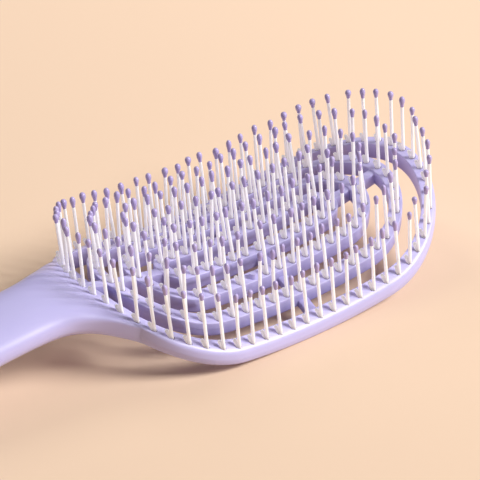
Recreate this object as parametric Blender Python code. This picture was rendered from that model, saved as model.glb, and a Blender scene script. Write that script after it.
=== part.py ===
"""Vent brush: a moulded handle and open head of nested rings, set with rows of ball-tipped tufts.

Metres, +Z up. The brush lies with its pins up on z = 0, on its two side rails and its butt,
with the handle towards -X. Plan places on the head are counted from the middle of its length.
"""
import math

import bmesh
import bpy
import numpy as np
from mathutils import Vector

# Head: the slot in the middle and the rings around it
SLOT_LENGTH = 0.0558
SLOT_WIDTH = 0.0067
SLOT_NECK_REACH = 0.0008
SLOT_TIP_REACH = 0.0028
BAND_WIDTH = 0.0043
VENT_WIDTH = 0.0059
RING_HEIGHT = 0.0054
RAIL_HEIGHT = 0.0062
RAIL_BULGE = 0.00035
RAIL_UNDER_ROUND = 0.0014
RAIL_EDGE_SHARE = 0.85
NECK_EDGE_SHARE = 0.15
EDGE_ROUND = 0.0008

# Head: the saddle that all ring tops follow
LENGTH_RADIUS = 0.209
CROSS_RADIUS = 0.0766
SAG_OFFSET = 0.0047
FOOT_TRIM = 0.00012

# Ribs between the rings
SIDE_RIB_WIDTH = 0.0038
NECK_RIB_WIDTH = 0.0037
TIP_RIB_WIDTH = 0.0031
SIDE_RIB_DROP = 0.0024
TIP_RIB_DROP = 0.0006
NECK_RIB_DROP = 0.0002
RIB_FOOT_RISE = 0.0004

# Tufts, each a long leg with a ball tip and a short stub, and the slice that carries them
TUFTS_IN_SIDE_ROW = 11
TUFTS_IN_ARC = 3
ARCS_AT_ENDS = (7, 5, 3, 1)
SLICE_DEPTH = 0.0016
LEG_LENGTH = 0.0198
LEG_RADIUS = 0.0008
TIP_LENGTH = 0.0036
TIP_RADIUS = 0.0012
TIP_TOP_RADIUS = 0.0006
LEG_SHIFT = 0.0011
LEG_LEAN = math.radians(5.4)
STUB_LENGTH = 0.0025
STUB_RADIUS = 0.0007
STUB_FROM_LEG = (-0.00072, 0.0009)
STUB_LEAN = math.radians(15)
LEG_ROOT_DEPTH = 0.0012
STUB_ROOT_DEPTH = 0.0006

# The one hole without a tuft: its ring and its number
EMPTY_HOLE = (2, 8)
EMPTY_HOLE_RADIUS = 0.0008
EMPTY_HOLE_DEPTH = 0.0011

# Neck: from the oval handle to a flat, flared end in the rail
NECK_LENGTH = 0.0155
NECK_HALF_WIDTH = 0.0131
NECK_HALF_THICKNESS = 0.0058
NECK_FLARE = 0.006
NECK_RISE = 0.0004
NECK_SLOPE = 0.055
NECK_FLARE_POWERS = (2, 1)
NECK_WEB_POWER = 6
NECK_KEEL = 0.002
NECK_KEEL_REACH = 0.019
NECK_KEEL_FADE = 0.007
NECK_TOP_SHARE = 0.95
NECK_STEP_SHARES = (0.2, 0.4, 0.55, 0.68, 0.78, 0.86, 0.93, 1.0)
OVAL_FULLNESS = 2.3
NECK_END_FULLNESS = 4.4

# Handle: grip, level stretch under the butt and rounded end
HANDLE_LENGTH = 0.1165
GRIP_SWELL = 0.0002
BUTT_HALF_WIDTH = 0.0118
BUTT_HALF_THICKNESS = 0.0058
BUTT_REST_LENGTH = 0.007
BUTT_ROUND = 0.013
BUTT_END_SHARE = 0.2
HANG_HOLE_RADIUS = 0.0036
HANG_HOLE_INSET = 0.0088

# Running gap between neighbouring solids, how far a cutter runs past what it cuts, how near
# two corners must lie after a cut to be made one, and the bend above which an edge is shaded sharp
GAP = 0.0003
OVERRUN = 0.008
MERGE_DISTANCE = 0.000008
SHARP_ANGLE = math.radians(38)

# Fineness of the handle: corners round a section, sections along the grip and in the round end
OVAL_CORNERS = 28
GRIP_STEPS = 12
ROUND_STEPS = 5

LAVENDER = (0.56, 0.49, 0.80)
TIP_LAVENDER = (0.32, 0.25, 0.52)
CREAM = (0.90, 0.85, 0.82)
PLASTIC_ROUGHNESS = 0.35
STRAND_ROUGHNESS = 0.4

RINGS = len(ARCS_AT_ENDS)
PITCH = BAND_WIDTH + VENT_WIDTH
TOP, FOOT = "top", "foot"
FINISHES = ("backing", "filament", "tips")
FILAMENT, TIPS = (FINISHES.index(finish) for finish in FINISHES[1:])
NECK_PLACE, TIP_PLACE = 0.0, 3.0
QUARTER = math.pi / 2


def clear_scene():
    for item in list(bpy.data.objects):
        bpy.data.objects.remove(item, do_unlink=True)


def band_reach(ring, offset=0.0):
    """How far a line lies outside the slot's edge: a ring's centre line moved out by an offset."""
    return BAND_WIDTH / 2 + (RINGS - 1 - ring) * PITCH + offset


RAIL_HALF_WIDTH = SLOT_WIDTH / 2 + band_reach(0)
NECK_END = -(SLOT_LENGTH + SLOT_NECK_REACH + SLOT_TIP_REACH) / 2 - band_reach(0)
TIP_END = -NECK_END
NECK_ARC_X = NECK_END + SLOT_NECK_REACH + band_reach(0)
TIP_ARC_X = TIP_END - SLOT_TIP_REACH - band_reach(0)
HANDLE_START_X = NECK_END - NECK_LENGTH
BUTT_X = NECK_END - HANDLE_LENGTH
ROUND_X = BUTT_X + BUTT_ROUND
REST_X = ROUND_X + BUTT_REST_LENGTH
HEAD_X = -(BUTT_X + TIP_END + BAND_WIDTH / 2 + RAIL_BULGE) / 2


def plan_point(ring, offset, place):
    """Plan point on a ring. Places run from 0 at the neck end over 1 and 2, the ends of the
    straight side, to 3 at the tip end, and are negative on the far side."""
    reach = band_reach(ring, offset)
    half_width = SLOT_WIDTH / 2 + reach
    walk = abs(place)
    side = -1 if place >= 0 else 1
    if walk <= 1:
        x = NECK_ARC_X - (SLOT_NECK_REACH + reach) * math.cos(walk * QUARTER)
        y = half_width * math.sin(walk * QUARTER)
    elif walk <= 2:
        x = NECK_ARC_X + (walk - 1) * SLOT_LENGTH
        y = half_width
    else:
        x = TIP_ARC_X + (SLOT_TIP_REACH + reach) * math.sin((walk - 2) * QUARTER)
        y = half_width * math.cos((walk - 2) * QUARTER)
    return Vector((x, side * y))


def tuft_count(ring):
    return 2 * (TUFTS_IN_SIDE_ROW + TUFTS_IN_ARC * ARCS_AT_ENDS[ring])


def place_of(ring, number):
    """Place of a tuft number, counted from the neck end along the near side at equal steps."""
    steps = 600
    walks = [3 * i / steps for i in range(steps + 1)]
    points = [plan_point(ring, 0.0, walk) for walk in walks]
    lengths = [0.0]
    for here, there in zip(points, points[1:]):
        lengths.append(lengths[-1] + (there - here).length)
    half = tuft_count(ring) / 2
    number = (number + half) % (2 * half) - half
    walk = float(np.interp(abs(number) / half * lengths[-1], lengths, walks))
    return walk if number >= 0 else -walk


def top_at(x, y):
    """Height of the ring tops: a saddle, sagging along the head and crowned across it."""
    along = (x + SAG_OFFSET) ** 2 / (2 * LENGTH_RADIUS)
    across = (RAIL_HALF_WIDTH ** 2 - y ** 2) / (2 * CROSS_RADIUS)
    return RAIL_HEIGHT + along + across


def within(share):
    return max(0.0, min(1.0, share))


def smooth(share):
    return share * share * (3 - 2 * share)


def blend(start, end, share):
    return start + (end - start) * share


def keel_depth(x, y):
    """How much deeper the rail is where the neck runs into it."""
    if x > NECK_ARC_X:
        return 0.0
    return NECK_KEEL * smooth(within((NECK_KEEL_REACH - abs(y)) / NECK_KEEL_FADE))


def ring_height(ring, x, y):
    return RAIL_HEIGHT + FOOT_TRIM + keel_depth(x, y) if ring == 0 else RING_HEIGHT


def section_points(ring, place, shape):
    """A ring's cross-section at a place: each shape point is an offset, a level and a rise."""
    centre = plan_point(ring, 0.0, place)
    foot = top_at(centre.x, centre.y) - ring_height(ring, centre.x, centre.y)
    points = []
    for offset, level, rise in shape:
        plan = plan_point(ring, offset, place)
        base = top_at(plan.x, plan.y) if level == TOP else foot
        points.append((plan.x, plan.y, base + rise))
    return points


def make_object(name, bm):
    bmesh.ops.recalc_face_normals(bm, faces=bm.faces)
    mesh = bpy.data.meshes.new(name)
    bm.to_mesh(mesh)
    bm.free()
    item = bpy.data.objects.new(name, mesh)
    bpy.context.collection.objects.link(item)
    return item


def skin_sections(bm, sections, closed):
    """Quads between neighbouring sections of equal count, round in a loop or capped by strips."""
    rows = [[bm.verts.new(point) for point in section] for section in sections]
    pairs = list(zip(rows, rows[1:]))
    if closed:
        pairs.append((rows[-1], rows[0]))
    for here, there in pairs:
        for i in range(len(here)):
            j = (i + 1) % len(here)
            bm.faces.new((here[i], here[j], there[j], there[i]))
    if not closed:
        cap_in_strips(bm, rows[0])
        cap_in_strips(bm, rows[-1])


def cap_in_strips(bm, row):
    """An end face in strips from one side to the other, which stays true where the end bends."""
    last = len(row) - 1
    for i in range((last - 1) // 2):
        bm.faces.new((row[i], row[i + 1], row[last - i - 1], row[last - i]))
    if last % 2 == 0:
        middle = last // 2
        bm.faces.new((row[middle - 1], row[middle], row[middle + 1]))


def combine(item, other, operation):
    """Joins or cuts one object with another, which is used up."""
    cut = item.modifiers.new(operation.lower(), "BOOLEAN")
    cut.operation = operation
    cut.solver = "EXACT"
    cut.object = other
    bpy.context.view_layer.update()
    graph = bpy.context.evaluated_depsgraph_get()
    mesh = bpy.data.meshes.new_from_object(item.evaluated_get(graph))
    item.modifiers.clear()
    item.data = mesh
    bpy.data.objects.remove(other, do_unlink=True)
    tidy_cut(mesh)


def tidy_cut(mesh):
    """Makes one of corners that a cut left almost on one spot, and closes a face that it lost."""
    bm = bmesh.new()
    bm.from_mesh(mesh)
    bmesh.ops.triangulate(bm, faces=bm.faces)
    bmesh.ops.remove_doubles(bm, verts=bm.verts, dist=MERGE_DISTANCE)
    bmesh.ops.dissolve_degenerate(bm, edges=bm.edges, dist=MERGE_DISTANCE)
    rims = [edge for edge in bm.edges if edge.is_boundary]
    bmesh.ops.holes_fill(bm, edges=rims, sides=4)
    bm.to_mesh(mesh)
    bm.free()


def finish_material(name, colour, roughness):
    material = bpy.data.materials.new(name)
    material.use_nodes = True
    shader = material.node_tree.nodes["Principled BSDF"]
    shader.inputs["Base Color"].default_value = (*colour, 1)
    shader.inputs["Roughness"].default_value = roughness
    shader.inputs["Metallic"].default_value = 0
    return material


def ring_loop(name, ring, shape):
    count = tuft_count(ring)
    places = [place_of(ring, number + 0.5) for number in range(count)]
    bm = bmesh.new()
    skin_sections(bm, [section_points(ring, place, shape) for place in places], True)
    return make_object(name, bm)


def rail_shape():
    """The outer rail: a bulging outer wall, rounded under, and a square inner wall."""
    half = BAND_WIDTH / 2
    return (
        (-half, TOP, 0.0),
        (half, TOP, 0.0),
        (half, TOP, -SLICE_DEPTH - 2 * GAP),
        (half + RAIL_BULGE, FOOT, RAIL_HEIGHT / 2 - EDGE_ROUND / 2),
        (half, FOOT, RAIL_UNDER_ROUND / 2),
        (half - RAIL_UNDER_ROUND, FOOT, 0.0),
        (-half + EDGE_ROUND, FOOT, 0.0),
        (-half, FOOT, EDGE_ROUND),
    )


def inner_ring_shape():
    half = BAND_WIDTH / 2
    return (
        (-half, TOP, 0.0),
        (half, TOP, 0.0),
        (half, FOOT, EDGE_ROUND),
        (half - EDGE_ROUND, FOOT, 0.0),
        (-half + EDGE_ROUND, FOOT, 0.0),
        (-half, FOOT, EDGE_ROUND),
    )


def slice_seat(ring):
    """The space that a ring's slices take, with their gap, as a cutter."""
    half = BAND_WIDTH / 2 + GAP
    shape = (
        (-half, TOP, -SLICE_DEPTH - GAP),
        (half, TOP, -SLICE_DEPTH - GAP),
        (half, TOP, OVERRUN),
        (-half, TOP, OVERRUN),
    )
    return ring_loop("slice_seat", ring, shape)


def inner_wall_point(ring, place):
    """Point on a ring's inner wall. At the two ends a flat facet of the wall crosses the axis."""
    if place not in (NECK_PLACE, TIP_PLACE):
        return plan_point(ring, -BAND_WIDTH / 2, place)
    middle = 0 if place == NECK_PLACE else tuft_count(ring) // 2
    corner = plan_point(ring, -BAND_WIDTH / 2, place_of(ring, middle + 0.5))
    return Vector((corner.x, 0.0))


def rib(ring, place, width, drop):
    """A short bar from the middle of a ring's band out to the next ring, a gap short of it."""
    start = plan_point(ring, 0.0, place)
    end = inner_wall_point(ring - 1, place)
    along = (end - start).normalized()
    end -= along * GAP
    side = Vector((-along.y, along.x)) * width / 2
    sections = []
    for point in (start, end):
        crest = top_at(point.x, point.y) - drop
        foot = top_at(point.x, point.y) - RING_HEIGHT + RIB_FOOT_RISE
        left, right = point - side, point + side
        sections.append([(*left, foot), (*right, foot), (*right, crest), (*left, crest)])
    bm = bmesh.new()
    skin_sections(bm, sections, False)
    return make_object("rib", bm)


def rib_plan(ring):
    """Place, width and drop of each rib that a ring sends out. The rail has none at the tip."""
    middle = 1 - NECK_ARC_X / SLOT_LENGTH
    ribs = [
        (NECK_PLACE, NECK_RIB_WIDTH, NECK_RIB_DROP),
        (middle, SIDE_RIB_WIDTH, SIDE_RIB_DROP),
        (-middle, SIDE_RIB_WIDTH, SIDE_RIB_DROP),
    ]
    if ring > 1:
        ribs.append((TIP_PLACE, TIP_RIB_WIDTH, TIP_RIB_DROP))
    return ribs


def inner_ring(ring):
    item = ring_loop(f"vent_ring_{ring + 1}", ring, inner_ring_shape())
    for place, width, drop in rib_plan(ring):
        combine(item, rib(ring, place, width, drop), "UNION")
    combine(item, slice_seat(ring), "DIFFERENCE")
    plastic = finish_material(item.name + "_plastic", LAVENDER, PLASTIC_ROUGHNESS)
    return shade(give_materials(item, plastic))


def give_materials(item, *materials):
    if item.data.materials:
        item.data.materials.clear()
    for material in materials:
        item.data.materials.append(material)
    return item


def shade(item):
    item.data.shade_smooth()
    item.data.set_sharp_from_angle(angle=SHARP_ANGLE)
    return item


def oval(fullness):
    """A unit oval in (across, up): a circle at a fullness of 2, and squarer above."""
    points = []
    for i in range(OVAL_CORNERS):
        angle = 2 * math.pi * (i + 0.5) / OVAL_CORNERS
        across = math.cos(angle)
        up = (1 - abs(across) ** fullness) ** (1 / fullness)
        points.append((across, math.copysign(up, math.sin(angle))))
    return points


def neck_axis_height():
    return top_at(NECK_END, 0.0) - RAIL_HEIGHT / 2 + NECK_RISE


def run_share(x, stop):
    """Share of the way from the handle's start to a stop nearer the butt, at most the whole."""
    return min(1.0, (HANDLE_START_X - x) / (HANDLE_START_X - stop))


def underside_height(x):
    """The handle's underside: a steady fall behind the neck that bends onto the level rest."""
    share = run_share(x, REST_X)
    start = neck_axis_height() - NECK_HALF_THICKNESS
    steady = NECK_SLOPE * (HANDLE_START_X - REST_X)
    fall = start - steady + FOOT_TRIM
    turn = steady / fall
    bend = (4 + turn) * share ** 3 - (3 + turn) * share ** 4
    return start - steady * share - fall * bend


def crest_height(x):
    """The handle's upper side: a slight arch from the neck down to the butt."""
    share = run_share(x, ROUND_X)
    start = neck_axis_height() + NECK_HALF_THICKNESS
    end = 2 * BUTT_HALF_THICKNESS - FOOT_TRIM
    steady = NECK_SLOPE * (HANDLE_START_X - ROUND_X)
    return start - steady * share - (start - steady - end) * share ** 2


def handle_half_width(x):
    share = run_share(x, ROUND_X)
    swell = GRIP_SWELL * math.sin(math.pi * share)
    return blend(NECK_HALF_WIDTH, BUTT_HALF_WIDTH, share) + swell


def axis_height(x):
    return (crest_height(x) + underside_height(x)) / 2


def butt_sections():
    """Distance and size of each section in the rounded end of the butt."""
    sections = [(BUTT_X, BUTT_END_SHARE)]
    for step in range(1, ROUND_STEPS):
        angle = QUARTER * step / ROUND_STEPS
        size = blend(BUTT_END_SHARE, 1.0, math.sin(angle))
        sections.append((BUTT_X + BUTT_ROUND * (1 - math.cos(angle)), size))
    return sections


def grip_sections():
    """Upright sections from the rounded butt to the start of the neck."""
    sections = butt_sections() + [(ROUND_X, 1.0)]
    for step in range(GRIP_STEPS + 1):
        sections.append((blend(REST_X, HANDLE_START_X, step / GRIP_STEPS), 1.0))
    rows = []
    for x, size in sections:
        half_width = handle_half_width(x) * size
        half_height = (crest_height(x) - underside_height(x)) / 2 * size
        row = []
        for across, up in oval(OVAL_FULLNESS):
            row.append((x, half_width * across, axis_height(x) + half_height * up))
        rows.append(row)
    return rows


def rail_wall_x(y):
    """The neck end of a line just within the rail's inner wall."""
    offset = GAP - BAND_WIDTH / 2
    share = min(abs(y) / (RAIL_HALF_WIDTH + offset), 1.0)
    return NECK_ARC_X - (NECK_ARC_X - NECK_END + offset) * math.sqrt(1 - share * share)


def neck_reach(share, up):
    """Half width of the neck, which flares to the rail and sooner on top than below."""
    lower, upper = (share ** power for power in NECK_FLARE_POWERS)
    flare = blend(lower, upper, (1 + up) / 2) + share ** NECK_WEB_POWER
    return NECK_HALF_WIDTH + NECK_FLARE * flare


def neck_sections():
    """Sections that swing from upright onto the rail's curve and thin to its height."""
    axis = neck_axis_height()
    rows = []
    for share in NECK_STEP_SHARES:
        fall = smooth(within(share / NECK_TOP_SHARE))
        row = []
        for across, up in oval(blend(OVAL_FULLNESS, NECK_END_FULLNESS, share)):
            y = across * neck_reach(share, up)
            wall_x = rail_wall_x(y)
            rail_top = top_at(wall_x, y)
            rail_foot = rail_top - RAIL_HEIGHT - keel_depth(wall_x, y)
            top = blend(axis + NECK_HALF_THICKNESS, rail_top - GAP, fall)
            foot = blend(axis - NECK_HALF_THICKNESS, rail_foot + GAP, share)
            x = blend(HANDLE_START_X, wall_x, share)
            row.append((x, y, blend(foot, top, (1 + up) / 2)))
        rows.append(row)
    return rows


def floor_cutter():
    """A slab below z = 0 that leaves real flats under both rails and the butt."""
    reach = HANDLE_LENGTH + TIP_END - NECK_END
    bm = bmesh.new()
    bmesh.ops.create_cube(bm, size=1.0)
    bmesh.ops.scale(bm, verts=bm.verts, vec=(2 * reach, 2 * reach, OVERRUN))
    bmesh.ops.translate(bm, verts=bm.verts, vec=(0.0, 0.0, -OVERRUN / 2))
    return make_object("floor_cutter", bm)


def hang_hole_cutter():
    x = BUTT_X + HANG_HOLE_INSET
    depth = BUTT_HALF_THICKNESS + OVERRUN
    bm = bmesh.new()
    bmesh.ops.create_cone(
        bm, cap_ends=True, segments=16, radius1=HANG_HOLE_RADIUS, radius2=HANG_HOLE_RADIUS,
        depth=2 * depth,
    )
    bmesh.ops.translate(bm, verts=bm.verts, vec=(x, 0.0, axis_height(x)))
    return make_object("hang_hole_cutter", bm)


def handle_and_rail():
    """The main moulding: grip, neck and outer rail in one."""
    bm = bmesh.new()
    skin_sections(bm, grip_sections() + neck_sections(), False)
    item = make_object("handle_and_rail", bm)
    combine(item, ring_loop("rail", 0, rail_shape()), "UNION")
    combine(item, slice_seat(0), "DIFFERENCE")
    combine(item, hang_hole_cutter(), "DIFFERENCE")
    combine(item, floor_cutter(), "DIFFERENCE")
    plastic = finish_material(item.name + "_plastic", LAVENDER, PLASTIC_ROUGHNESS)
    return shade(give_materials(item, plastic))


def rail_edge_fall(place):
    """How deep the rail's outer top edge is rounded: hardly at all where the neck joins it."""
    if abs(place) > 1:
        return RAIL_EDGE_SHARE * SLICE_DEPTH
    beside = abs(plan_point(0, 0.0, place).y) - NECK_HALF_WIDTH
    share = within(beside / NECK_FLARE)
    return blend(NECK_EDGE_SHARE, RAIL_EDGE_SHARE, smooth(share)) * SLICE_DEPTH


def slice_shape(ring, place):
    half = BAND_WIDTH / 2
    inner = ((-half, TOP, -SLICE_DEPTH), (-half, TOP, 0.0))
    if ring > 0:
        return (*inner, (half, TOP, 0.0), (half, TOP, -SLICE_DEPTH))
    fall = rail_edge_fall(place)
    return (
        *inner,
        (half - fall, TOP, 0.0),
        (half - fall / 3, TOP, -fall / 3),
        (half, TOP, -fall),
        (half, TOP, -SLICE_DEPTH),
    )


def slice_strip(name, ring, first, count):
    """A slice of a ring's top that carries a run of tufts, short of its neighbours by a gap."""
    half_pitch = 0.5
    step = ring_length(ring) / tuft_count(ring)
    trim = GAP / 2 / step
    numbers = [first - half_pitch + i for i in range(count + 1)]
    numbers[0] += trim
    numbers[-1] -= trim
    places = [place_of(ring, number) for number in numbers]
    bm = bmesh.new()
    rows = [section_points(ring, place, slice_shape(ring, place)) for place in places]
    skin_sections(bm, rows, False)
    return make_object(name, bm)


def ring_length(ring):
    steps = 300
    points = [plan_point(ring, 0.0, 3 * i / steps) for i in range(steps + 1)]
    return 2 * sum((b - a).length for a, b in zip(points, points[1:]))


def add_strand(bm, root, direction, away, profile, tip_slot):
    """A three-sided strand with one edge turned away from its partner leg, so that a flat side
    faces it. Profile pairs are distance along the strand and radius."""
    beyond = direction.cross(away).normalized()
    across = beyond.cross(direction)
    rows = []
    for distance, radius in profile:
        centre = root + direction * distance
        corners = []
        for i in range(3):
            angle = 2 * math.pi * i / 3
            spoke = across * math.cos(angle) + beyond * math.sin(angle)
            corners.append(bm.verts.new(centre + spoke * radius))
        rows.append(corners)
    for level, (here, there) in enumerate(zip(rows, rows[1:])):
        for i in range(3):
            j = (i + 1) % 3
            face = bm.faces.new((here[i], here[j], there[j], there[i]))
            face.material_index = tip_slot if level else FILAMENT
    bm.faces.new(rows[0][::-1]).material_index = FILAMENT
    bm.faces.new(rows[-1]).material_index = tip_slot


def leg_profile():
    shoulder = LEG_ROOT_DEPTH + LEG_LENGTH - TIP_LENGTH
    crown = shoulder + TIP_LENGTH * 2 / 3
    return (
        (0.0, LEG_RADIUS),
        (shoulder, LEG_RADIUS),
        (crown, TIP_RADIUS),
        (LEG_ROOT_DEPTH + LEG_LENGTH, TIP_TOP_RADIUS),
    )


def surface_point(x, y):
    return Vector((x, y, top_at(x, y)))


def leg_foot(ring, number):
    centre = plan_point(ring, 0.0, place_of(ring, number))
    return surface_point(centre.x, centre.y - LEG_SHIFT)


def add_leg(bm, ring, number):
    """A tuft's long leg, on the near side of its hole."""
    up = Vector((-math.sin(LEG_LEAN), 0.0, math.cos(LEG_LEAN)))
    away = -Vector((*STUB_FROM_LEG, 0.0))
    root = leg_foot(ring, number) - up * LEG_ROOT_DEPTH
    add_strand(bm, root, up, away, leg_profile(), TIPS)


def add_stub(bm, ring, number):
    """A tuft's short stub, which leans away from the long leg on the far, handle side."""
    up = Vector((-math.sin(LEG_LEAN), 0.0, math.cos(LEG_LEAN)))
    away = Vector((*STUB_FROM_LEG, 0.0))
    lean = up * math.cos(STUB_LEAN) + away.normalized() * math.sin(STUB_LEAN)
    lean.normalize()
    foot = leg_foot(ring, number) + away
    root = surface_point(foot.x, foot.y) - lean * STUB_ROOT_DEPTH
    profile = ((0.0, STUB_RADIUS), (STUB_ROOT_DEPTH + STUB_LENGTH, STUB_RADIUS))
    add_strand(bm, root, lean, away, profile, FILAMENT)


def empty_hole_cutter(ring, number):
    centre = plan_point(ring, 0.0, place_of(ring, number))
    bm = bmesh.new()
    bmesh.ops.create_cone(
        bm, cap_ends=True, segments=8, radius1=EMPTY_HOLE_RADIUS, radius2=EMPTY_HOLE_RADIUS,
        depth=2 * EMPTY_HOLE_DEPTH,
    )
    bmesh.ops.translate(bm, verts=bm.verts, vec=(*centre, top_at(centre.x, centre.y)))
    return make_object("empty_hole_cutter", bm)


def tuft_row(name, ring, first, count):
    """A slice with its tufts: backing plastic, filament and dipped tips."""
    looks = ((LAVENDER, PLASTIC_ROUGHNESS), (CREAM, STRAND_ROUGHNESS), (TIP_LAVENDER, STRAND_ROUGHNESS))
    finishes = [finish_material(f"{name}_{finish}", *look) for finish, look in zip(FINISHES, looks)]
    item = give_materials(slice_strip(name, ring, first, count), *finishes)
    for add in (add_leg, add_stub):
        bm = bmesh.new()
        for number in range(first, first + count):
            if (ring, number) != EMPTY_HOLE:
                add(bm, ring, number)
        combine(item, give_materials(make_object("strands", bm), *finishes), "UNION")
    if EMPTY_HOLE[0] == ring and first <= EMPTY_HOLE[1] < first + count:
        combine(item, empty_hole_cutter(*EMPTY_HOLE), "DIFFERENCE")
    return shade(item)


def ring_runs(ring):
    """Names and tuft numbers of the runs round one ring: end arcs and straight side rows."""
    arcs = ARCS_AT_ENDS[ring]
    end_tufts = TUFTS_IN_ARC * arcs
    label = f"tufts_ring_{ring + 1}"
    runs = []
    start = -(end_tufts // 2)
    for side, end in (("near", "neck"), ("far", "tip")):
        for arc in range(arcs):
            runs.append((f"{label}_{end}_{arc + 1}", start, TUFTS_IN_ARC))
            start += TUFTS_IN_ARC
        runs.append((f"{label}_{side}", start, TUFTS_IN_SIDE_ROW))
        start += TUFTS_IN_SIDE_ROW
    return runs


def build():
    clear_scene()
    head = bpy.data.objects.new("head_centre", None)
    head.location = (HEAD_X, 0.0, 0.0)
    bpy.context.collection.objects.link(head)
    parts = [handle_and_rail()]
    for ring in range(1, RINGS):
        parts.append(inner_ring(ring))
    for ring in range(RINGS):
        for name, first, count in ring_runs(ring):
            parts.append(tuft_row(name, ring, first, count))
    for part in parts:
        part.parent = head


build()
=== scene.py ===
"""Looks of the vent brush: the moulding with rounded edges, filament tufts, light and camera.

Sizes are in millimetres and x counts from the middle of the head's length. The studio is in metres.
"""

import math
import random

import bmesh
import bpy
import numpy as np
from mathutils import Matrix, Vector


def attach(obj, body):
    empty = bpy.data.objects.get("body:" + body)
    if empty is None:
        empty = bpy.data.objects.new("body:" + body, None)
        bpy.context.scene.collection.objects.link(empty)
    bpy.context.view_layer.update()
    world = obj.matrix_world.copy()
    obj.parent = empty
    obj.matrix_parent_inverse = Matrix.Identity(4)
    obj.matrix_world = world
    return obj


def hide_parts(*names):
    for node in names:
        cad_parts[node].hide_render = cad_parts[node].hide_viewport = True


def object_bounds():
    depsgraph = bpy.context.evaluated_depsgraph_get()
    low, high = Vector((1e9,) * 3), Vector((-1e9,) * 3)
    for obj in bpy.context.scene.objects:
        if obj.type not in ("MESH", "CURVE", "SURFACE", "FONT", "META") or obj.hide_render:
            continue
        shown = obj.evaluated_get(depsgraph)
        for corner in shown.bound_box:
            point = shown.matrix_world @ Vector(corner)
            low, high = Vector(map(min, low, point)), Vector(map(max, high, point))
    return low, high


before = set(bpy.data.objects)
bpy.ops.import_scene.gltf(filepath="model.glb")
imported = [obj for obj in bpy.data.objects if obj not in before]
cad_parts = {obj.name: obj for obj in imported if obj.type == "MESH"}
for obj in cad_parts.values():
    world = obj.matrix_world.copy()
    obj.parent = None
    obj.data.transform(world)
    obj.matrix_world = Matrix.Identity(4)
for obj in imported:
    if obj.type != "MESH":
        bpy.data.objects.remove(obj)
CAD_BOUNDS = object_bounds()

# The head, as in the CAD
SLOT_LENGTH = 55.8
SLOT_WIDTH = 6.7
SLOT_NECK_REACH = 0.8
SLOT_TIP_REACH = 2.8
BAND_WIDTH = 4.3
PITCH = 10.2
RING_HEIGHT = 5.4
RAIL_HEIGHT = 6.2
RAIL_BULGE = 0.35
RAIL_TOP_BULGE = 0.6 * RAIL_BULGE
LENGTH_RADIUS = 209.0
CROSS_RADIUS = 76.6
SAG_OFFSET = 4.7
RIB_WIDTHS = {"neck": 3.7, "side": 3.8, "tip": 3.1}
RIB_DROPS = {"neck": 0.2, "side": 2.4, "tip": 0.6}
RIB_FOOT_RISE = 0.4
RIB_STEPS = 6
# The rings count inwards from 0, the rail. The first ring with a rib at the tip is number 2
RINGS = 4
TIP_RIB_FROM = 2
# How deep behind the inner wall of a ring the end of a rib or of the neck lies
BITE = 0.3

# The rounding of its edges, and the parting line part way up its walls
RAIL_ROUNDING = 1.9
SHARP_EDGE = 0.25
RAIL_INNER_EDGE = 0.28
RAIL_WAIST_EDGE = 2.0
RAIL_WAIST_SHARE = 0.45
RAIL_FOOT_EDGE = 1.5
RING_TOP_EDGE = 0.36
INNER_FOOT_EDGE = 0.9
RIB_TOP_EDGE = 0.5
RIB_FOOT_EDGE = 0.6
RAIL_PARTING_SHARE = 0.6
RING_PARTING_SHARE = 0.55
PARTING_STEP = 0.08
FILLET_STEPS = 4
FILLET_SIDE_SHARE = 0.49
RAIL_SECTIONS = 320
RING_SECTIONS = 260
SHARP_ANGLE = math.radians(50)

# The tufts
TUFTS_IN_SIDE_ROW = 11
TUFTS_IN_ARC = 3
ARCS_AT_ENDS = (7, 5, 3, 1)
LEG_LENGTH = 19.8
LEG_RADIUS = 0.56
LEG_SIDES = 12
# Lengths and radii of the dipped tips at the near edge and at the far edge
TIP_LENGTHS = (2.9, 3.7)
TIP_RADII = (0.80, 0.98)
TIP_LENGTH_SPREAD = 0.2
TIP_RADIUS_SPREAD = 0.1
TIP_SWELL_SHARE = 0.65
TIP_STEPS = 5
TIP_POLE_RADIUS = 0.12
NO_TIP = math.inf
LEG_SHIFT = 1.1
LEG_LEAN = math.radians(5.4)
LEAN_SPREAD = math.radians(1.6)
BEND_SPREAD_X = 0.25
BEND_SPREAD_Y = 0.2
TUFT_SEED = 7
STUB_FROM_LEG = (-0.34, 0.43)
STUB_LENGTH = 2.8
STUB_RADIUS = 0.62
STUB_SIDES = 10
STUB_LEAN = math.radians(19)
# Distances back from the stub's cut end, and the shares of its radius there
STUB_END = ((0.5, 1.0), (0.2, 0.85), (0.0, 0.45))
ROOT_DEPTH = 0.9
# Ring and number of the hole without a tuft
EMPTY_HOLE = (2, 8)
HOLE_RADIUS = 1.0
HOLE_DEPTH = 1.6
HOLE_SIDES = 20
LIP_RADIUS = 1.35
LIP_RISE = 0.06
# A dark disc of painted shade in the mouth of each tuft's hole
SHADE_DISC_RADIUS = 1.08
SHADE_DISC_RISE = 0.03
SHADE_DISC_WIDTH_SHARE = 0.82
SOCKET_SIDES = 16
# Radii and heights over the ring's top, from the foot of the lip to the middle of the mouth's disc
# of painted shade
SOCKET_LEVELS = (
    (LIP_RADIUS, -0.05), (0.9 * LIP_RADIUS, LIP_RISE), (SHADE_DISC_RADIUS, LIP_RISE),
    (0.93 * SHADE_DISC_RADIUS, SHADE_DISC_RISE), (0.6 * SHADE_DISC_RADIUS, SHADE_DISC_RISE), (0.05, SHADE_DISC_RISE),
)
LIP_LEVELS = 2

# The neck and handle
HANDLE_LENGTH = 116.5
NECK_LENGTH = 15.5
NECK_HALF_WIDTH = 13.1
NECK_HALF_THICKNESS = 5.8
NECK_FLARE = 6.0
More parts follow.
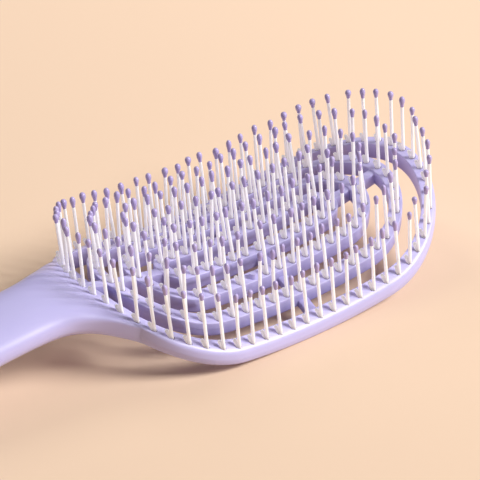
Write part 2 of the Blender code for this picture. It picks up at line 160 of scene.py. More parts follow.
# The neck's foot widens later than its top, which widens evenly
NECK_FLARE_POWERS = (2, 1)
NECK_WEB_POWER = 4
NECK_WEB_FROM = 0.6
NECK_WEB_SPAN = 0.3
NECK_EDGE_FADE = 15.0
NECK_SIDE_FROM = 0.8
NECK_SIDE_SPAN = 0.2
NECK_SIDE_INSET = 0.1
NECK_DIP = 1.3
NECK_DIP_END = 0.76
NECK_DIP_POWER = 0.75
NECK_TOP_RISE = 0.02
NECK_FOOT_RISE = 0.15
NECK_RISE = 0.4
NECK_SLOPE = 0.055
NECK_TOP_SHARE = 0.95
NECK_KEEL = 2.0
NECK_KEEL_REACH = 19.0
NECK_KEEL_FADE = 7.0
OVAL_FULLNESS = 2.3
NECK_END_FULLNESS = 4.4
NECK_WEB_FULLNESS = 9.0
GRIP_SWELL = 0.2
BUTT_HALF_WIDTH = 11.8
BUTT_HALF_THICKNESS = 5.8
BUTT_REST_LENGTH = 7.0
BUTT_ROUND = 13.0
BUTT_END_SHARE = 0.2
HANG_HOLE_RADIUS = 3.6
HANG_HOLE_INSET = 8.8
HANG_HOLE_SIDES = 48
HANG_CUT_HEIGHT = 6.0
HANG_CUT_REACH = 12.0

# Rows of corners along the handle, and the easing of those where the grip turns into the neck
HANDLE_SIDES = 72
BUTT_ROWS = 9
GRIP_ROWS = 60
NECK_ROWS = 32
NECK_ROW_POWER = 1.5
EASE_PASSES = 24
EASE_FROM = 36
EASE_SPARED = 4

# Painted shade: how the colour darkens down the walls between the rings
PAINTED_SHADE_ATTRIBUTE = "depth"
PAINTED_SHADE_POWER = 1.5
INSIDE_RAIL = 0.99

MM = 0.001
QUARTER = math.pi / 2
TIP_PLACE = 3.0
WALK_STEPS = 600


def smooth(share):
    return share * share * (3 - 2 * share)


def within(share):
    return max(0.0, min(1.0, share))


def blend(start, end, share):
    return start + (end - start) * share


def band_reach(ring, offset=0.0):
    """Distance from the middle slot's wall out to a line beside a ring's middle line."""
    return BAND_WIDTH / 2 + (RINGS - 1 - ring) * PITCH + offset


RAIL_HALF_WIDTH = SLOT_WIDTH / 2 + band_reach(0)
NECK_END = -(SLOT_LENGTH + SLOT_NECK_REACH + SLOT_TIP_REACH) / 2 - band_reach(0)
TIP_END = -NECK_END
NECK_ARC_X = NECK_END + SLOT_NECK_REACH + band_reach(0)
TIP_ARC_X = TIP_END - SLOT_TIP_REACH - band_reach(0)
HANDLE_START_X = NECK_END - NECK_LENGTH
BUTT_X = NECK_END - HANDLE_LENGTH
ROUND_X = BUTT_X + BUTT_ROUND
REST_X = ROUND_X + BUTT_REST_LENGTH
OUTER_EDGE = BAND_WIDTH / 2 + RAIL_BULGE
HEAD_X = -(BUTT_X + TIP_END + OUTER_EDGE) / 2
CAD_TIP_X = CAD_BOUNDS[1][0] / MM - HEAD_X


def plan_point(ring, offset, place):
    """Plan point on a ring, at a place from 0 at the neck end to 3 at the tip end."""
    reach = band_reach(ring, offset)
    half_width = SLOT_WIDTH / 2 + reach
    walk = abs(place)
    side = -1 if place >= 0 else 1
    if walk <= 1:
        x = NECK_ARC_X - (SLOT_NECK_REACH + reach) * math.cos(walk * QUARTER)
        y = half_width * math.sin(walk * QUARTER)
    elif walk <= 2:
        x = NECK_ARC_X + (walk - 1) * SLOT_LENGTH
        y = half_width
    else:
        x = TIP_ARC_X + (SLOT_TIP_REACH + reach) * math.sin((walk - 2) * QUARTER)
        y = half_width * math.cos((walk - 2) * QUARTER)
    return x, side * y


def tuft_count(ring):
    return 2 * (TUFTS_IN_SIDE_ROW + TUFTS_IN_ARC * ARCS_AT_ENDS[ring])


WALKS = np.linspace(0.0, TIP_PLACE, WALK_STEPS + 1)


def half_ring_lengths(ring):
    """Lengths along a ring's middle line, from its neck end to each of the walks."""
    line = np.array([plan_point(ring, 0.0, walk) for walk in WALKS])
    steps = np.linalg.norm(np.diff(line, axis=0), axis=1)
    return np.concatenate([[0.0], np.cumsum(steps)])


RING_LENGTHS = [half_ring_lengths(ring) for ring in range(RINGS)]


def place_of(ring, number):
    """Place of a tuft number, counted from the neck end along the near side at equal steps."""
    half = tuft_count(ring) / 2
    number = (number + half) % (2 * half) - half
    lengths = RING_LENGTHS[ring]
    walk = float(np.interp(abs(number) / half * lengths[-1], lengths, WALKS))
    return walk if number >= 0 else -walk


def top_at(x, y):
    """Height of the saddle that the tops of all rings follow."""
    along = (x + SAG_OFFSET) ** 2 / (2 * LENGTH_RADIUS)
    across = (RAIL_HALF_WIDTH ** 2 - y ** 2) / (2 * CROSS_RADIUS)
    return RAIL_HEIGHT + along + across


def keel_depth(x, y):
    """How far the rail's foot reaches down under the neck."""
    if x > NECK_ARC_X:
        return 0.0
    return NECK_KEEL * smooth(within((NECK_KEEL_REACH - abs(y)) / NECK_KEEL_FADE))


def in_metres(point):
    """A point in the part's own frame, where x counts from the middle of the whole brush."""
    return ((point[0] + HEAD_X) * MM, point[1] * MM, point[2] * MM)


def fillet(corners):
    """Rounds the corners (offset, height, radius) of a closed outline with arcs of points."""
    outline = []
    for i, (x, y, radius) in enumerate(corners):
        here = Vector((x, y))
        back = Vector(corners[i - 1][:2]) - here
        ahead = Vector(corners[(i + 1) % len(corners)][:2]) - here
        if radius <= 0:
            outline.append((x, y))
            continue
        half_angle = back.angle(ahead) / 2
        most = FILLET_SIDE_SHARE * min(back.length, ahead.length)
        run = min(radius / math.tan(half_angle), most)
        start, end = here + back.normalized() * run, here + ahead.normalized() * run
        for step in range(FILLET_STEPS + 1):
            share = step / FILLET_STEPS
            one, two = start.lerp(here, share), here.lerp(end, share)
            outline.append(tuple(one.lerp(two, share)))
    return outline


def skin(bm, rows, closed):
    """Quads between rows of corners, round in a loop or capped at both ends."""
    verts = [[bm.verts.new(in_metres(point)) for point in row] for row in rows]
    pairs = list(zip(verts, verts[1:]))
    if closed:
        pairs.append((verts[-1], verts[0]))
    for here, there in pairs:
        for i in range(len(here)):
            j = (i + 1) % len(here)
            bm.faces.new((here[i], here[j], there[j], there[i]))
    if not closed:
        bm.faces.new(verts[0])
        bm.faces.new(verts[-1])


def new_piece(name, bm, materials):
    """A smooth object with its sharp edges kept. The bmesh is used up."""
    bmesh.ops.recalc_face_normals(bm, faces=bm.faces)
    mesh = bpy.data.meshes.new(name)
    bm.to_mesh(mesh)
    bm.free()
    for material in materials:
        mesh.materials.append(material)
    mesh.shade_smooth()
    mesh.set_sharp_from_angle(angle=SHARP_ANGLE)
    piece = bpy.data.objects.new(name, mesh)
    bpy.context.collection.objects.link(piece)
    return piece


# Materials

TONE_DETAIL = 3.0
GRAIN_DETAIL = 2.0
GLOSS_FINENESS = 3
BUMP_STRENGTH = 0.35
TONE_SPREAD = (0.3, 0.7)
# The colour of the painted shade at the foot of the walls between the rings
PAINTED_WALL_SHADE = (0.34, 0.29, 0.63)
# Painted light: the faint glow of the filament, though it is no lamp
PAINTED_GLOW_COLOUR = (1.0, 0.92, 0.95)
PAINTED_GLOW_STRENGTH = 0.1
NO_SCATTER = (0.0, 0.001, (1.0, 1.0, 1.0))


def noise(nodes, links, coords, scale, detail=TONE_DETAIL):
    texture = nodes.new("ShaderNodeTexNoise")
    texture.inputs["Scale"].default_value = scale
    texture.inputs["Detail"].default_value = detail
    links.new(coords, texture.inputs["Vector"])
    return texture.outputs["Fac"]


def two_tone(nodes, links, factor, first, second):
    ramp = nodes.new("ShaderNodeValToRGB")
    ramp.color_ramp.elements[0].position = TONE_SPREAD[0]
    ramp.color_ramp.elements[1].position = TONE_SPREAD[1]
    ramp.color_ramp.elements[0].color = (*first, 1)
    ramp.color_ramp.elements[1].color = (*second, 1)
    links.new(factor, ramp.inputs["Fac"])
    return ramp.outputs["Color"]


def surface(name, first, second, tone_scale, roughness, grain_scale, grain_depth, scatter):
    """A surface of two near tones, with a varied gloss and a fine grain.

    Scales count to a metre and the grain's depth is in metres. Scatter is its weight, its depth
    in metres and the shares of that depth for red, green and blue.
    """
    material = bpy.data.materials.new(name)
    material.use_nodes = True
    nodes, links = material.node_tree.nodes, material.node_tree.links
    shader = nodes["Principled BSDF"]
    coords = nodes.new("ShaderNodeTexCoord").outputs["Object"]
    tone = noise(nodes, links, coords, tone_scale)
    links.new(two_tone(nodes, links, tone, first, second), shader.inputs["Base Color"])
    gloss = nodes.new("ShaderNodeMapRange")
    gloss.inputs["To Min"].default_value = roughness[0]
    gloss.inputs["To Max"].default_value = roughness[1]
    links.new(noise(nodes, links, coords, GLOSS_FINENESS * tone_scale), gloss.inputs["Value"])
    links.new(gloss.outputs["Result"], shader.inputs["Roughness"])
    bump = nodes.new("ShaderNodeBump")
    bump.inputs["Strength"].default_value = BUMP_STRENGTH
    bump.inputs["Distance"].default_value = grain_depth
    links.new(noise(nodes, links, coords, grain_scale, GRAIN_DETAIL), bump.inputs["Height"])
    links.new(bump.outputs["Normal"], shader.inputs["Normal"])
    weight, depth, radii = scatter
    shader.inputs["Subsurface Weight"].default_value = weight
    shader.inputs["Subsurface Radius"].default_value = radii
    shader.inputs["Subsurface Scale"].default_value = depth
    return material


def paint_wall_shade(material, colour):
    """Paints shade into the colour, darker towards the foot of the walls between the rings."""
    nodes, links = material.node_tree.nodes, material.node_tree.links
    base = nodes["Principled BSDF"].inputs["Base Color"]
    depth = nodes.new("ShaderNodeAttribute")
    depth.attribute_name = PAINTED_SHADE_ATTRIBUTE
    mix = nodes.new("ShaderNodeMix")
    mix.data_type = "RGBA"
    # The node has sockets of one name for each kind of data, so its colour ones go by number
    factor, first, second, result = mix.inputs[0], mix.inputs[6], mix.inputs[7], mix.outputs[2]
    links.new(depth.outputs["Fac"], factor)
    links.new(base.links[0].from_socket, first)
    second.default_value = (*colour, 1)
    links.new(result, base)


PLASTIC = surface(
    "lavender_plastic_with_painted_shade", (0.54, 0.50, 0.83), (0.58, 0.54, 0.87),
    tone_scale=30.0, roughness=(0.32, 0.40), grain_scale=2200.0, grain_depth=0.00003,
    scatter=(0.12, 0.0012, (1.0, 0.8, 1.0)),
)
# The walls between the rings get painted shade, darker towards their foot
paint_wall_shade(PLASTIC, PAINTED_WALL_SHADE)
FILAMENT = surface(
    "cream_filament_with_painted_glow", (0.98, 0.93, 0.96), (1.0, 0.95, 0.99),
    tone_scale=90.0, roughness=(0.34, 0.44), grain_scale=3000.0, grain_depth=0.00002,
    scatter=(0.9, 0.002, (1.0, 0.95, 0.95)),
)
# Painted light: the translucent filament glows a little, so it is brighter than its lit side alone
# would be
filament_sockets = FILAMENT.node_tree.nodes["Principled BSDF"].inputs
filament_sockets["Emission Color"].default_value = (*PAINTED_GLOW_COLOUR, 1)
filament_sockets["Emission Strength"].default_value = PAINTED_GLOW_STRENGTH
# The dark disc of painted shade in the mouth of each tuft's hole
PAINTED_HOLE_SHADE = surface(
    "hole_shade", (0.17, 0.12, 0.27), (0.22, 0.17, 0.33),
    tone_scale=200.0, roughness=(0.5, 0.7), grain_scale=1500.0, grain_depth=0.00003,
    scatter=NO_SCATTER,
)
TIP = surface(
    "dipped_tip", (0.46, 0.38, 0.69), (0.52, 0.44, 0.75),
    tone_scale=160.0, roughness=(0.20, 0.28), grain_scale=1800.0, grain_depth=0.00003,
    scatter=NO_SCATTER,
)


# The moulding


def rail_edge_radius(x, y):
    """The rail's outer top edge is well rounded, but runs on sharp into the neck."""
    if x > NECK_ARC_X:
        return RAIL_ROUNDING
    beside = abs(y) - NECK_HALF_WIDTH - NECK_FLARE
    return blend(SHARP_EDGE, RAIL_ROUNDING, smooth(within(beside / NECK_EDGE_FADE)))


def ring_outline(ring, place):
    """Corners of a ring's section, with the faint parting step part way down its walls."""
    half = BAND_WIDTH / 2
    foot = half - PARTING_STEP
    if ring:
        line = RING_PARTING_SHARE * RING_HEIGHT
        return (
            (-half, RING_HEIGHT, RING_TOP_EDGE),
            (half, RING_HEIGHT, RING_TOP_EDGE),
            (half, line, 0),
            (foot, line - PARTING_STEP, 0),
            (foot, 0.0, INNER_FOOT_EDGE),
            (-foot, 0.0, INNER_FOOT_EDGE),
            (-foot, line - PARTING_STEP, 0),
            (-half, line, 0),
        )
    line = RAIL_PARTING_SHARE * RAIL_HEIGHT
    return (
        (-half, RAIL_HEIGHT, RAIL_INNER_EDGE),
        (half + RAIL_TOP_BULGE, RAIL_HEIGHT, rail_edge_radius(*plan_point(0, 0.0, place))),
        (half + RAIL_BULGE, RAIL_WAIST_SHARE * RAIL_HEIGHT, RAIL_WAIST_EDGE),
        (half, 0.0, RAIL_FOOT_EDGE),
        (-foot, 0.0, INNER_FOOT_EDGE),
        (-foot, line - PARTING_STEP, 0),
        (-half, line, 0),
    )


def ring_row(ring, place):
    """A ring's section in space. Its top follows the saddle and its foot lies level across."""
    centre = plan_point(ring, 0.0, place)
    height = RING_HEIGHT if ring else RAIL_HEIGHT
    keel = 0.0 if ring else keel_depth(*centre)
    foot = top_at(*centre) - height - keel
    row = []
    for offset, level in fillet(ring_outline(ring, place)):
        plan = plan_point(ring, offset, place)
        share = level / height
        low, high = foot + level, top_at(*plan) - height + level
        # The round tip stays inside the CAD model's box
        row.append((min(plan[0], CAD_TIP_X), plan[1], blend(low, high, share)))
    return row


def ring_rows(ring, count):
    """Sections of a ring at equal steps round it."""
    places = [place_of(ring, tuft_count(ring) * i / count) for i in range(count)]
    return [ring_row(ring, place) for place in places]


def rib_rows(ring, kind, side=1):
    """A bar from the middle of a ring's band out into the next ring's wall."""
    width, drop = RIB_WIDTHS[kind], RIB_DROPS[kind]
    # The ribs at the sides stand where x is 0
    middle = 1 - NECK_ARC_X / SLOT_LENGTH
    place = {"neck": 0.0, "tip": TIP_PLACE, "side": side * middle}[kind]
    start = Vector(plan_point(ring, 0.0, place))
    end = Vector(plan_point(ring - 1, BITE - BAND_WIDTH / 2, place))
    along = (end - start).normalized()
    aside = Vector((-along.y, along.x))
    height = RING_HEIGHT - RIB_FOOT_RISE - drop
    corners = (
        (-width / 2, height, RIB_TOP_EDGE), (width / 2, height, RIB_TOP_EDGE),
        (width / 2, 0, RIB_FOOT_EDGE), (-width / 2, 0, RIB_FOOT_EDGE),
    )
    rows = []
    for step in range(RIB_STEPS + 1):
        point = start.lerp(end, step / RIB_STEPS)
        foot = top_at(*point) - RING_HEIGHT + RIB_FOOT_RISE
        rows.append([(*(point + aside * a), foot + h) for a, h in fillet(corners)])
    return rows


def oval(fullness):
    """Corners of the handle's section, from an oval to a box with rounded corners."""
    points = []
    for i in range(HANDLE_SIDES):
        angle = 2 * math.pi * (i + 0.5) / HANDLE_SIDES
        across = math.cos(angle)
        up = (1 - abs(across) ** fullness) ** (1 / fullness)
        points.append((across, math.copysign(up, math.sin(angle))))
    return points


NECK_AXIS = top_at(NECK_END, 0.0) - RAIL_HEIGHT / 2 + NECK_RISE


def run_share(x, stop):
    """Share of the way from the neck back to a stop near the butt."""
    return min(1.0, (HANDLE_START_X - x) / (HANDLE_START_X - stop))


def underside_height(x):
    """The underside leaves the neck at its slope and comes down level onto the butt's flat."""
    share = run_share(x, REST_X)
    start = NECK_AXIS - NECK_HALF_THICKNESS
    steady = NECK_SLOPE * (HANDLE_START_X - REST_X)
    fall = start - steady
    turn = steady / fall
    bend = (4 + turn) * share ** 3 - (3 + turn) * share ** 4
    return start - steady * share - fall * bend


def crest_height(x):
    """The crest leaves the neck at its slope and curves down to the butt's thickness."""
    share = run_share(x, ROUND_X)
    start = NECK_AXIS + NECK_HALF_THICKNESS
    steady = NECK_SLOPE * (HANDLE_START_X - ROUND_X)
    return start - steady * share - (start - steady - 2 * BUTT_HALF_THICKNESS) * share ** 2


def grip_row(x, size):
    """A section of the grip, drawn in by a size below 1 where the butt rounds off."""
    share = run_share(x, ROUND_X)
    half_width = blend(NECK_HALF_WIDTH, BUTT_HALF_WIDTH, share)
    half_width += GRIP_SWELL * math.sin(math.pi * share)
    top, foot = crest_height(x), underside_height(x)
    row = []
    for across, up in oval(OVAL_FULLNESS):
        row.append((x, half_width * size * across, (top + foot + (top - foot) * size * up) / 2))
    return row


def neck_end_x(y, across):
    """The neck ends at the rail's inner wall, but its sides run out along the outer one."""
    outward = smooth(within((abs(across) - NECK_SIDE_FROM) / NECK_SIDE_SPAN))
    offset = blend(BITE - BAND_WIDTH / 2, BAND_WIDTH / 2 - NECK_SIDE_INSET, outward)
    share = min(abs(y) / (RAIL_HALF_WIDTH + offset), 1.0)
    return NECK_ARC_X - (NECK_ARC_X - NECK_END + offset) * math.sqrt(1 - share * share)


def neck_row(share):
    """A section of the neck, from the grip's oval at share 0 to the rail's wall at share 1."""
    row = []
    fall = smooth(within(share / NECK_TOP_SHARE))
    lower, upper = (share ** power for power in NECK_FLARE_POWERS)
    fullness = blend(OVAL_FULLNESS, NECK_END_FULLNESS, share)
    fullness += NECK_WEB_FULLNESS * smooth(within((share - NECK_WEB_FROM) / NECK_WEB_SPAN))
    for across, up in oval(fullness):
        flare = blend(lower, upper, (1 + up) / 2) + 1 - math.sqrt(1 - share ** NECK_WEB_POWER)
        y = across * (NECK_HALF_WIDTH + NECK_FLARE * flare)
        end_x = neck_end_x(y, across)
        x = blend(HANDLE_START_X, end_x, share)
        rail_foot = top_at(end_x, y) - RAIL_HEIGHT - keel_depth(end_x, y)
        top = blend(NECK_AXIS + NECK_HALF_THICKNESS, top_at(x, y) + NECK_TOP_RISE, fall)
        dip = math.sin(math.pi * within(share / NECK_DIP_END) ** NECK_DIP_POWER) ** 2
        top -= NECK_DIP * dip * (1 - across * across) ** 2
        foot = blend(NECK_AXIS - NECK_HALF_THICKNESS, rail_foot + NECK_FOOT_RISE, share)
        row.append((x, y, blend(foot, top, (1 + up) / 2)))
    return row


def handle_rows():
    """Sections from the butt's end to the rail, closer together near the rail."""
    rows = []
    for step in range(BUTT_ROWS):
        angle = QUARTER * step / BUTT_ROWS
        size = blend(BUTT_END_SHARE, 1.0, math.sin(angle))
        rows.append(grip_row(BUTT_X + BUTT_ROUND * (1 - math.cos(angle)), size))
    for step in range(GRIP_ROWS):
        rows.append(grip_row(blend(ROUND_X, HANDLE_START_X, step / GRIP_ROWS), 1.0))
    for step in range(NECK_ROWS + 1):
        rows.append(neck_row(1 - (1 - step / NECK_ROWS) ** NECK_ROW_POWER))
    return ease_kinks(rows)


def ease_kinks(rows):
    """Evens out the bends from the grip on into the neck, but not the last rows at the rail."""
    grid = np.array(rows)
    last = len(grid) - 1 - EASE_SPARED
    for _ in range(EASE_PASSES):
        eased = (grid[:-2] + 2 * grid[1:-1] + grid[2:]) / 4
        grid[EASE_FROM:last] = eased[EASE_FROM - 1:last - 1]
    return [[tuple(point) for point in row] for row in grid]


def cylinder_cutter(name, x, y, z, radius, reach, sides):
    """An upright round tool that reaches as far up as down from its middle."""
    bm = bmesh.new()
    bmesh.ops.create_cone(
        bm, cap_ends=True, segments=sides, radius1=radius * MM, radius2=radius * MM,
        depth=2 * reach * MM,
    )
    bmesh.ops.translate(bm, verts=bm.verts, vec=in_metres((x, y, z)))
    return new_piece(name, bm, [PLASTIC])


def cut(piece, cutter):
    """Cuts a hole with a tool and removes the tool."""
    modifier = piece.modifiers.new("cut", "BOOLEAN")
    modifier.operation = "DIFFERENCE"
    modifier.solver = "EXACT"
    modifier.object = cutter
    graph = bpy.context.evaluated_depsgraph_get()
    mesh = bpy.data.meshes.new_from_object(piece.evaluated_get(graph))
    piece.modifiers.clear()
    piece.data = mesh
    bpy.data.objects.remove(cutter, do_unlink=True)
    mesh.set_sharp_from_angle(angle=SHARP_ANGLE)


def rail_share(x, y):
    """Distance of a plan point from the head's middle line: 1 on the rail's middle line."""
    beyond = x - min(max(x, NECK_ARC_X), TIP_ARC_X)
    stretch = SLOT_NECK_REACH if beyond < 0 else SLOT_TIP_REACH
    return math.hypot(beyond / (band_reach(0) + stretch), y / RAIL_HALF_WIDTH)


def rounding_drop(x, y):
    """How far the rail's rounded outer edge lies under the saddle at a plan point."""
    radius = rail_edge_radius(x, y)
    past = (rail_share(x, y) - 1) * RAIL_HALF_WIDTH - BAND_WIDTH / 2 - RAIL_TOP_BULGE
    return radius * (1 - math.sqrt(1 - within(1 + past / radius))) ** 2


def mark_painted_shade_depths(piece):
    """Notes how low each corner inside the rail lies, for the painted shade there."""
    depths = piece.data.attributes.new(PAINTED_SHADE_ATTRIBUTE, "FLOAT", "POINT")
    for vert, item in zip(piece.data.vertices, depths.data):
        x, y, z = (value / MM for value in vert.co)
        x -= HEAD_X
        if rail_share(x, y) < INSIDE_RAIL:
            item.value = within((top_at(x, y) - z) / RING_HEIGHT) ** PAINTED_SHADE_POWER


def add_socket(bm, ring, number):
    """The slight lip of a tuft's hole, and a dark disc of painted shade in its mouth."""
    x, y = plan_point(ring, 0.0, place_of(ring, number))
    x, y = x + STUB_FROM_LEG[0] / 2, y - LEG_SHIFT + STUB_FROM_LEG[1] / 2
    along = Vector(STUB_FROM_LEG).normalized()
    aside = Vector((-along.y, along.x)) * SHADE_DISC_WIDTH_SHARE
    rows = []
    for radius, rise in SOCKET_LEVELS:
        row = []
        for i in range(SOCKET_SIDES):
            angle = 2 * math.pi * i / SOCKET_SIDES
            spoke = radius * (along * math.cos(angle) + aside * math.sin(angle))
            u, v = x + spoke.x, y + spoke.y
            drop = rounding_drop(u, v) if ring == 0 else 0.0
            row.append(bm.verts.new(in_metres((u, v, top_at(u, v) - drop + rise))))
        rows.append(row)
    for level, (here, there) in enumerate(zip(rows, rows[1:])):
        for i in range(SOCKET_SIDES):
            j = (i + 1) % SOCKET_SIDES
            face = bm.faces.new((here[i], here[j], there[j], there[i]))
            # The lip is plastic and the rest is a disc of painted shade
            face.material_index = 0 if level < LIP_LEVELS else 1


def add_sockets(bm, ring):
    for number in range(tuft_count(ring)):
        if (ring, number) != EMPTY_HOLE:
            add_socket(bm, ring, number)


def add_handle_and_rail():
    bm = bmesh.new()
    skin(bm, handle_rows(), False)
    handle = new_piece("handle", bm, [PLASTIC])
    hole = cylinder_cutter(
        "hang", BUTT_X + HANG_HOLE_INSET, 0.0, HANG_CUT_HEIGHT, HANG_HOLE_RADIUS,
        HANG_CUT_REACH, HANG_HOLE_SIDES,
    )
    cut(handle, hole)
    bm = bmesh.new()
    bm.from_mesh(handle.data)
    bpy.data.objects.remove(handle, do_unlink=True)
    skin(bm, ring_rows(0, RAIL_SECTIONS), True)
    add_sockets(bm, 0)
    outer = new_piece("body_handle_and_rail", bm, [PLASTIC, PAINTED_HOLE_SHADE])
    # Painted shade darkens the walls inside the rail towards their foot
    mark_painted_shade_depths(outer)
    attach(outer, "root")
    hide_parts("handle_and_rail")


def cut_empty_hole(piece):
    """Sinks the hole without a tuft. The sockets of its ring are added after the cut."""
    ring, number = EMPTY_HOLE
    x, y = plan_point(ring, 0.0, place_of(ring, number))
    hole = cylinder_cutter(
        "hole", x, y - LEG_SHIFT / 2, top_at(x, y), HOLE_RADIUS, HOLE_DEPTH, HOLE_SIDES,
    )
    cut(piece, hole)
    bm = bmesh.new()
    bm.from_mesh(piece.data)
    add_sockets(bm, ring)
    bm.to_mesh(piece.data)
    bm.free()
    piece.data.set_sharp_from_angle(angle=SHARP_ANGLE)


def add_vent_ring(ring):
    bm = bmesh.new()
    skin(bm, ring_rows(ring, RING_SECTIONS), True)
    skin(bm, rib_rows(ring, "neck"), False)
    for side in (1, -1):
        skin(bm, rib_rows(ring, "side", side), False)
    if ring >= TIP_RIB_FROM:
        skin(bm, rib_rows(ring, "tip"), False)
    has_empty_hole = ring == EMPTY_HOLE[0]
    if not has_empty_hole:
        add_sockets(bm, ring)
    piece = new_piece(f"body_vent_ring_{ring + 1}", bm, [PLASTIC, PAINTED_HOLE_SHADE])
    if has_empty_hole:
        cut_empty_hole(piece)
    # Painted shade darkens the walls inside the rail towards their foot
    mark_painted_shade_depths(piece)
    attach(piece, "root")
    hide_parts(f"vent_ring_{ring + 1}")


def moulding():
    add_handle_and_rail()
    for ring in range(1, RINGS):
        add_vent_ring(ring)


# The tufts


def add_strand(bm, root, direction, bend, profile, sides, tip_from):
    """A round strand with a closed, rounded end. Profile pairs are distance and radius."""
    across = direction.orthogonal().normalized()
    beside = direction.cross(across)
    length = profile[-1][0]
    rows = []
    for distance, radius in profile:
        centre = root + direction * distance + bend * (distance / length) ** 2
        corners = []
        for i in range(sides):
            angle = 2 * math.pi * i / sides
            spoke = across * math.cos(angle) + beside * math.sin(angle)
            corners.append(bm.verts.new(in_metres(centre + spoke * radius)))
        rows.append(corners)
    for level, (here, there) in enumerate(zip(rows, rows[1:])):
        for i in range(sides):
            j = (i + 1) % sides
            face = bm.faces.new((here[i], here[j], there[j], there[i]))
            face.material_index = 1 if profile[level][0] >= tip_from else 0
    bm.faces.new(rows[0])
    bm.faces.new(rows[-1]).material_index = 1 if length >= tip_from else 0


def leg_profile(length, radius):
    """A straight shank and a drop-shaped tip of a length and radius, with its wide end up."""
    shoulder = ROOT_DEPTH + LEG_LENGTH - length
    profile = [(0.0, LEG_RADIUS), (shoulder / 2, LEG_RADIUS), (shoulder, LEG_RADIUS)]
    swell = TIP_SWELL_SHARE * length
    for step in range(1, TIP_STEPS + 1):
        share = step / TIP_STEPS
        profile.append((shoulder + swell * share, blend(LEG_RADIUS, radius, smooth(share))))
    crown = length - swell
    for step in range(1, TIP_STEPS + 1):
        angle = QUARTER * step / TIP_STEPS
        reach = max(TIP_POLE_RADIUS, radius * math.cos(angle))
        profile.append((shoulder + swell + crown * math.sin(angle), reach))
    return profile


def stub_profile():
    """A straight strand with a cut end that is a little rounded."""
    end = ROOT_DEPTH + STUB_LENGTH
    profile = [(0.0, STUB_RADIUS)]
    for back, share in STUB_END:
        profile.append((end - back, share * STUB_RADIUS))
    return profile


def add_tuft(bm, ring, number, chance):
    """A long leg with a dipped tip and a short cut stub, out of one hole."""
    x, y = plan_point(ring, 0.0, place_of(ring, number))
    foot = Vector((x, y - LEG_SHIFT, top_at(x, y - LEG_SHIFT)))
    lean_x = -LEG_LEAN + chance.gauss(0.0, LEAN_SPREAD)
    lean_y = chance.gauss(0.0, LEAN_SPREAD)
    up = Vector((math.tan(lean_x), math.tan(lean_y), 1.0)) * math.cos(LEG_LEAN)
    bend = Vector((chance.gauss(0.0, BEND_SPREAD_X), chance.gauss(0.0, BEND_SPREAD_Y), 0.0))
    far = within((y / RAIL_HALF_WIDTH + 1) / 2)
    length = blend(*TIP_LENGTHS, far) * (1 + TIP_LENGTH_SPREAD * chance.uniform(-1.0, 1.0))
    radius = blend(*TIP_RADII, far) * (1 + TIP_RADIUS_SPREAD * chance.uniform(-1.0, 1.0))
    tip_from = ROOT_DEPTH + LEG_LENGTH - length
    # The tips stay over the moulding, so that nothing stands out past its outline
    end = foot + up * LEG_LENGTH + bend
    most = OUTER_EDGE - radius
    widest = RAIL_HALF_WIDTH + most
    bend.x += min(0.0, TIP_END + most - end.x)
    bend.y += max(0.0, -widest - end.y) + min(0.0, widest - end.y)
    leg = leg_profile(length, radius)
    add_strand(bm, foot - up * ROOT_DEPTH, up, bend, leg, LEG_SIDES, tip_from)
    away = Vector((*STUB_FROM_LEG, 0.0))
    rest = Vector((-math.sin(LEG_LEAN), 0.0, math.cos(LEG_LEAN)))
    turn = STUB_LEAN + chance.gauss(0.0, 2 * LEAN_SPREAD)
    lean = rest * math.cos(turn) + away.normalized() * math.sin(turn)
    foot = foot + away
    foot.z = top_at(foot.x, foot.y)
    root = foot - lean * ROOT_DEPTH
    add_strand(bm, root, lean, Vector(), stub_profile(), STUB_SIDES, NO_TIP)


def ring_runs(ring):
    """Names and tuft numbers of the runs round one ring, as in the CAD."""
    arcs = ARCS_AT_ENDS[ring]
    runs = []
    start = -(TUFTS_IN_ARC * arcs // 2)
    for side, end in (("near", "neck"), ("far", "tip")):
        for arc in range(arcs):
            runs.append((f"{end}_{arc + 1}", start, TUFTS_IN_ARC))
            start += TUFTS_IN_ARC
        runs.append((side, start, TUFTS_IN_SIDE_ROW))
        start += TUFTS_IN_SIDE_ROW
    return runs


def tufts():
    chance = random.Random(TUFT_SEED)
    for ring in range(RINGS):
        for label, first, count in ring_runs(ring):
            bm = bmesh.new()
            for number in range(first, first + count):
                if (ring, number) != EMPTY_HOLE:
                    add_tuft(bm, ring, number, chance)
            piece = new_piece(f"pins_ring_{ring + 1}_{label}", bm, [FILAMENT, TIP])
            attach(piece, "root")
            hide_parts(f"tufts_ring_{ring + 1}_{label}")


# The studio

# The photograph's camera: its three directions, its distance, its lens and its small shift
CAMERA_RIGHT = Vector((0.79279946, -0.60948258, 0.0))
CAMERA_UP = Vector((0.32547801, 0.42337354, 0.84546964))
CAMERA_FORWARD = Vector((0.51529901, 0.67028788, -0.53402349))
CAMERA_DISTANCE = 0.8330965
FOCAL_PIXELS = 2668.35
SHIFT_PIXELS = (-7.48, -0.66)
PICTURE_PIXELS = 480
SENSOR = 36.0

FLOOR_REACH = 3.0
FLOOR_SHINE = 0.15
# Where its painted shade starts and ends along x from the head's middle, and how much it is mottled
FLOOR_PAINTED_SHADE_FROM = -0.12
FLOOR_PAINTED_SHADE_TO = 0.166
FLOOR_MOTTLE = 0.12
FLOOR_TONE_SPREAD = (0.06, 1.0)

# Name, power, side, place and colour of each lamp
LAMPS = (
    ("key", 502.0, 2.5, (3.44, -3.39, 4.02), (1.0, 1.0, 0.99)),
    ("back", 10.0, 0.9, (-0.1, 1.5, 1.5), (1.0, 0.98, 0.96)),
)
SKY_COLOUR = (1.0, 0.92, 0.87)
SKY_STRENGTH = 0.12


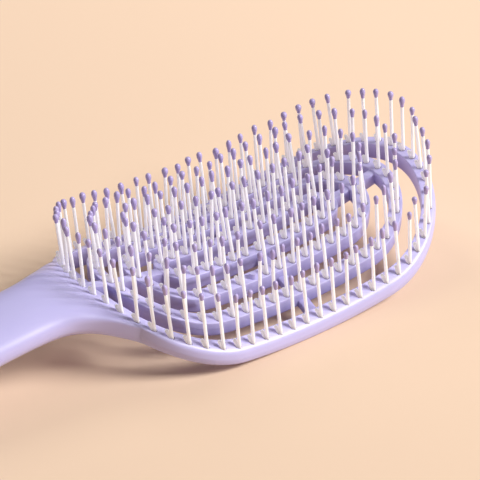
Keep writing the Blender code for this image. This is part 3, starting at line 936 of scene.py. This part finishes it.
def floor_material():
    """Matt peach paper, with painted shade that makes it a little darker towards the handle's end.
    """
    material = surface(
        "floor_paper_with_painted_shade", (0.820, 0.611, 0.450), (0.952, 0.705, 0.525),
        tone_scale=3.0, roughness=(0.75, 0.85), grain_scale=400.0, grain_depth=0.00005,
        scatter=NO_SCATTER,
    )
    nodes, links = material.node_tree.nodes, material.node_tree.links
    nodes["Principled BSDF"].inputs["Specular IOR Level"].default_value = FLOOR_SHINE
    ramp = next(node for node in nodes if node.bl_idname == "ShaderNodeValToRGB")
    coords = next(node for node in nodes if node.bl_idname == "ShaderNodeTexCoord")
    split = nodes.new("ShaderNodeSeparateXYZ")
    links.new(coords.outputs["Object"], split.inputs["Vector"])
    # Painted shade: the paper darkens along x towards the handle's end
    span = nodes.new("ShaderNodeMapRange")
    span.inputs["From Min"].default_value = HEAD_X * MM + FLOOR_PAINTED_SHADE_FROM
    span.inputs["From Max"].default_value = HEAD_X * MM + FLOOR_PAINTED_SHADE_TO
    links.new(split.outputs["X"], span.inputs["Value"])
    mix = nodes.new("ShaderNodeMath")
    mix.operation = "MULTIPLY_ADD"
    tone = ramp.inputs["Fac"].links[0].from_socket
    links.new(tone, mix.inputs[0])
    mix.inputs[1].default_value = FLOOR_MOTTLE
    links.new(span.outputs["Result"], mix.inputs[2])
    links.new(mix.outputs["Value"], ramp.inputs["Fac"])
    ramp.color_ramp.elements[0].position = FLOOR_TONE_SPREAD[0]
    ramp.color_ramp.elements[1].position = FLOOR_TONE_SPREAD[1]
    return material


def floor():
    material = floor_material()
    bm = bmesh.new()
    bmesh.ops.create_grid(bm, x_segments=1, y_segments=1, size=FLOOR_REACH)
    plane = new_piece("studio_floor", bm, [material])


def lamp(name, energy, size, place, target, colour):
    light = bpy.data.lights.new(name, "AREA")
    light.energy = energy
    light.shape = "SQUARE"
    light.size = size
    light.color = colour
    item = bpy.data.objects.new(name, light)
    item.location = place
    item.rotation_euler = (Vector(target) - Vector(place)).to_track_quat("-Z", "Y").to_euler()
    bpy.context.collection.objects.link(item)


def studio():
    target = (HEAD_X * MM, 0.0, 0.0)
    for name, energy, size, place, colour in LAMPS:
        lamp(name, energy, size, place, target, colour)
    world = bpy.data.worlds.new("studio")
    world.use_nodes = True
    sky = world.node_tree.nodes["Background"]
    sky.inputs["Color"].default_value = (*SKY_COLOUR, 1)
    sky.inputs["Strength"].default_value = SKY_STRENGTH
    bpy.context.scene.world = world
    bpy.context.scene.view_settings.view_transform = "Standard"


def camera():
    data = bpy.data.cameras.new("camera")
    data.sensor_width = SENSOR
    data.lens = FOCAL_PIXELS / PICTURE_PIXELS * SENSOR
    data.shift_x, data.shift_y = (shift / PICTURE_PIXELS for shift in SHIFT_PIXELS)
    item = bpy.data.objects.new("camera", data)
    matrix = Matrix((CAMERA_RIGHT, CAMERA_UP, -CAMERA_FORWARD)).transposed().to_4x4()
    target = Vector(in_metres((0.0, 0.0, top_at(0.0, 0.0))))
    matrix.translation = target - CAMERA_FORWARD * CAMERA_DISTANCE
    item.matrix_world = matrix
    bpy.context.collection.objects.link(item)
    bpy.context.scene.camera = item


moulding()
tufts()
floor()
studio()
camera()
